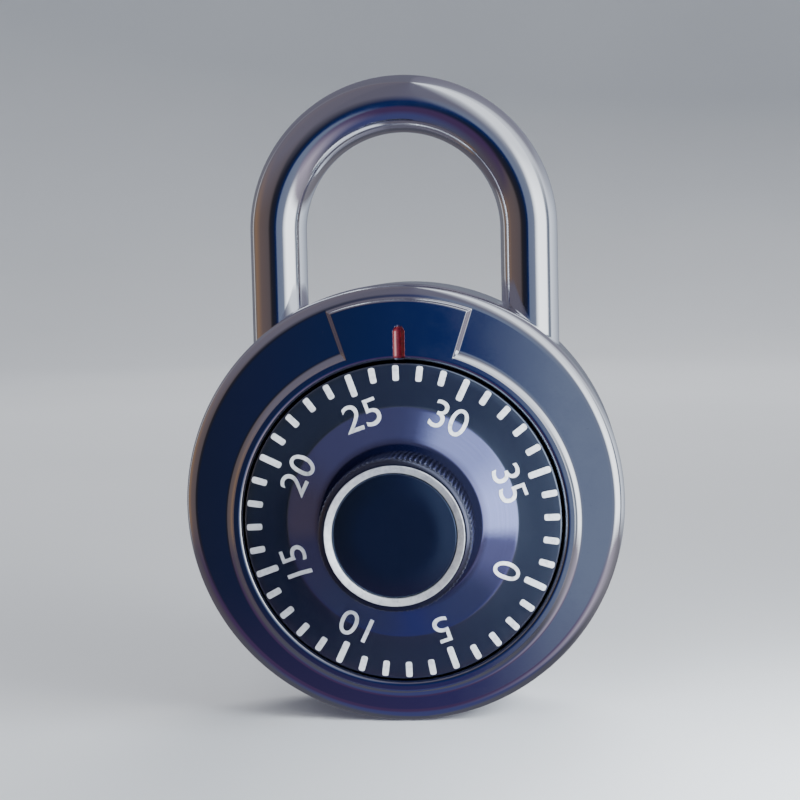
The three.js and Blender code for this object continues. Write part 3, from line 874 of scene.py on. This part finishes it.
def shackle_rod():
    sides = 96
    path = shackle_path()
    rings = []

    def ring_at(centre, inward, radius):
        ring = []
        for j in range(sides):
            t = 2 * math.pi * j / sides
            side = radius * math.cos(t)
            x = centre[0] + inward[0] * side
            z = centre[1] + inward[1] * side
            ring.append((x, ROD_Y + radius * math.sin(t), z))
        return ring

    for centre, inward in path:
        rings.append(ring_at(centre, inward, ROD_R))
    toe_rings = []
    heel_rings = []
    round_off = 0.6
    for r, drop in arc((ROD_R - round_off, round_off), (round_off, -round_off), 90, 0, 6)[:-1]:
        toe_rings.append(ring_at((-LEG_X, TOE_Z + drop), (1, 0), r))
        heel_rings.append(ring_at((LEG_X, HEEL_Z + drop), (-1, 0), r))
    toe_rings.append(ring_at((-LEG_X, TOE_Z + round_off), (1, 0), ROD_R))
    heel_rings.append(ring_at((LEG_X, HEEL_Z + round_off), (-1, 0), ROD_R))
    obj = lofted("shackle_rod", toe_rings + rings[1:-1] + heel_rings[::-1])
    inner_side = -LEG_X + ROD_R
    notch_floor = inner_side - 1.5
    notch_start, notch_deep, notch_end = NOTCH_Z
    notch = [(notch_floor, notch_deep), (inner_side + 0.01, notch_start), (inner_side + 1, notch_start),
             (inner_side + 1, notch_end), (notch_floor, notch_end)]
    bevel = [(inner_side - 1.2, TOE_Z - 0.01), (inner_side + 1, TOE_Z - 0.01), (inner_side + 1, TOE_Z + 2)]
    reach = (ROD_Y - ROD_R - 1, ROD_Y + ROD_R + 1)
    cut_away(obj, prism_tool(notch, *reach), prism_tool(bevel, *reach))
    groove_r = ROD_R - 0.5
    low, high = HEEL_GROOVE_Z
    corners = [(groove_r, low), (5, low), (5, high), (groove_r, high)]
    groove = turned_upright("tool", corners, (LEG_X, ROD_Y))
    cut_away(obj, groove)
    shade_by_angle(obj, 35)
    return finish_piece(obj, "shackle", "shackle_chrome", replaces=["shackle"])


def turned_upright(name, profile, centre, segments=96):
    """A closed ring about a vertical axis, from (radius, z) points."""
    angles = [2 * math.pi * i / segments for i in range(segments)]
    rings = [
        [(centre[0] + r * math.cos(a), centre[1] + r * math.sin(a), z) for a in angles]
        for r, z in profile
    ]
    return lofted(name, rings, closed=True)


# ---- stage --------------------------------------------------------------------------------------------
def stage_material():
    """Pale to the eye. Mirror rays pass through it, so that chrome shows the surroundings, not the floor."""
    n = Nodes("stage_pale")
    place = n.coordinates.outputs["Object"]
    mottling = n.noise(place, 6, 3, 0.5)
    colour = n.ramp(mottling, (0.3, (0.80, 0.82, 0.85)), (0.7, (0.84, 0.86, 0.89)))
    n.surface(Base_Color=colour, Roughness=0.9)
    rays = n.add("ShaderNodeLightPath")
    clear = n.add("ShaderNodeBsdfTransparent")
    mixer = n.add("ShaderNodeMixShader")
    output = n.tree.nodes["Material Output"]
    n.tree.links.new(rays.outputs["Is Glossy Ray"], mixer.inputs[0])
    n.tree.links.new(n.shader.outputs[0], mixer.inputs[1])
    n.tree.links.new(clear.outputs[0], mixer.inputs[2])
    n.tree.links.new(mixer.outputs[0], output.inputs["Surface"])
    return n.material


def stage_bowl():
    floor = cad_box[0][2] / MM - 0.05
    profile = [(0.0, 0.0), (300, 0.0), (700, 0.0)]
    profile += arc((700, 500), (500, -500), 90, 0, 24)[1:]
    profile += [(1200, 900)]
    angles = [2 * math.pi * i / 96 for i in range(96)]
    rings = [
        [(max(r, 0.01) * math.cos(a), max(r, 0.01) * math.sin(a), floor + z) for a in angles]
        for r, z in profile
    ]
    obj = lofted("stage_floor", rings, caps=False)
    obj.data.materials.append(stage_material())


def world():
    """Neutral soft light for everything matt; mirror rays see the surroundings by direction:
    deep blue ahead, a bright window to the right, warm brown to the left."""
    scene_world = bpy.data.worlds.new("surroundings")
    bpy.context.scene.world = scene_world
    scene_world.use_nodes = True
    n = Nodes.__new__(Nodes)
    n.tree = scene_world.node_tree
    n.coordinates = n.tree.nodes.new("ShaderNodeTexCoord")
    parts = n.add("ShaderNodeSeparateXYZ", Vector=n.coordinates.outputs["Generated"])
    x, y, z = parts.outputs[0], parts.outputs[1], parts.outputs[2]
    heading = n.math("ARCTAN2", x, n.math("MULTIPLY", y, -1.0))
    share = n.math("ADD", n.math("MULTIPLY", heading, 0.5 / math.pi), 0.5)
    round_about = n.ramp(
        share,
        (0.000, (0.35, 0.38, 0.48)),
        (0.163, (0.30, 0.29, 0.32)),
        (0.172, (1.60, 1.60, 1.70)),
        (0.184, (0.30, 0.24, 0.22)),
        (0.230, (0.46, 0.29, 0.19)),
        (0.300, (0.26, 0.19, 0.18)),
        (0.400, (0.20, 0.16, 0.17)),
        (0.425, (0.040, 0.038, 0.050)),
        (0.465, (0.022, 0.028, 0.065)),
        (0.480, (0.018, 0.032, 0.120)),
        (0.494, (0.016, 0.040, 0.230)),
        (0.498, (0.300, 0.370, 0.560)),
        (0.520, (0.320, 0.380, 0.560)),
        (0.565, (0.360, 0.420, 0.600)),
        (0.590, (2.80, 3.00, 3.20)),
        (0.610, (4.20, 4.40, 4.60)),
        (0.705, (4.00, 4.20, 4.40)),
        (0.720, (0.50, 0.56, 0.70)),
        (0.748, (0.25, 0.30, 0.40)),
        (0.765, (1.90, 2.05, 2.30)),
        (0.880, (1.00, 1.10, 1.30)),
        (1.000, (0.35, 0.38, 0.48)),
    )
    ceiling = n.ramp(
        share,
        (0.00, (0.26, 0.25, 0.34)),
        (0.53, (0.28, 0.26, 0.35)),
        (0.60, (1.80, 1.90, 2.10)),
        (0.74, (1.80, 1.90, 2.10)),
        (0.82, (0.36, 0.34, 0.45)),
    )
    below = n.ramp(
        share,
        (0.00, (0.24, 0.23, 0.27)),
        (0.30, (0.16, 0.13, 0.17)),
        (0.42, (0.11, 0.06, 0.17)),
        (0.50, (0.11, 0.06, 0.18)),
        (0.52, (0.20, 0.15, 0.30)),
        (0.60, (0.90, 0.80, 1.00)),
        (0.75, (0.45, 0.43, 0.50)),
        (1.00, (0.24, 0.23, 0.27)),
    )
    deep = n.ramp(share, (0.30, (0.15, 0.15, 0.20)), (0.45, (0.10, 0.11, 0.32)), (0.55, (0.10, 0.11, 0.32)),
                  (0.70, (0.17, 0.17, 0.22)))
    floor = n.mix(between(n, z, -0.50, -0.75), below, deep)
    with_floor = n.mix(between(n, z, -0.18, -0.31), round_about, floor)
    mirror = n.mix(n.math("MULTIPLY", between(n, z, 0.12, 0.50), 0.85), with_floor, ceiling)
    rays = n.add("ShaderNodeLightPath")
    seen = n.mix(rays.outputs["Is Glossy Ray"], (0.42, 0.44, 0.49), mirror)
    background = n.tree.nodes["Background"]
    n.set(background.inputs["Color"], seen)
    background.inputs["Strength"].default_value = 0.55


def area_light(name, place, target, size, watts, colour=(1, 1, 1)):
    data = bpy.data.lights.new(name, "AREA")
    data.shape = "DISK"
    data.size = size
    data.energy = watts
    data.color = colour
    obj = bpy.data.objects.new(name, data)
    bpy.context.scene.collection.objects.link(obj)
    obj.location = place
    obj.rotation_euler = (Vector(target) - Vector(place)).to_track_quat("-Z", "Y").to_euler()
    obj.visible_glossy = False
    obj.visible_camera = False


def camera():
    data = bpy.data.cameras.new("camera")
    data.lens = 82
    data.sensor_width = 36
    obj = bpy.data.objects.new("camera", data)
    bpy.context.scene.collection.objects.link(obj)
    place = Vector((0.018, -0.220, 0.028))
    middle = (Vector(cad_box[0]) + Vector(cad_box[1])) / 2
    aim = Vector((0.0, FRONT * MM, middle.z))
    roll = Quaternion((0, 0, 1), math.radians(-1.3))
    obj.location = place
    obj.rotation_euler = ((aim - place).to_track_quat("-Z", "Y") @ roll).to_euler()
    bpy.context.scene.camera = obj


dress_cad_nodes()
case_shell()
index_line()
rear_cover()
dial_face()
dial_ticks()
for value in range(0, DIVISIONS, NUMBER_EVERY):
    dial_number(value)
knob_body()
knob_trim()
knob_face()
shackle_rod()

stage_bowl()
world()
area_light("key", (-0.25, -0.55, 0.60), (0, 0, 0.01), 0.45, 1.6)
area_light("fill", (0.55, -0.45, 0.25), (0, 0, 0.01), 0.5, 1.6, (0.96, 0.98, 1.0))
area_light("back", (0.1, 0.6, 0.6), (0, 0, 0.01), 0.5, 4.0)
area_light("window", (0.075, -0.062, 0.030), (0.005, 0, 0), 0.05, 0.18, (0.90, 0.96, 1.0))
camera()
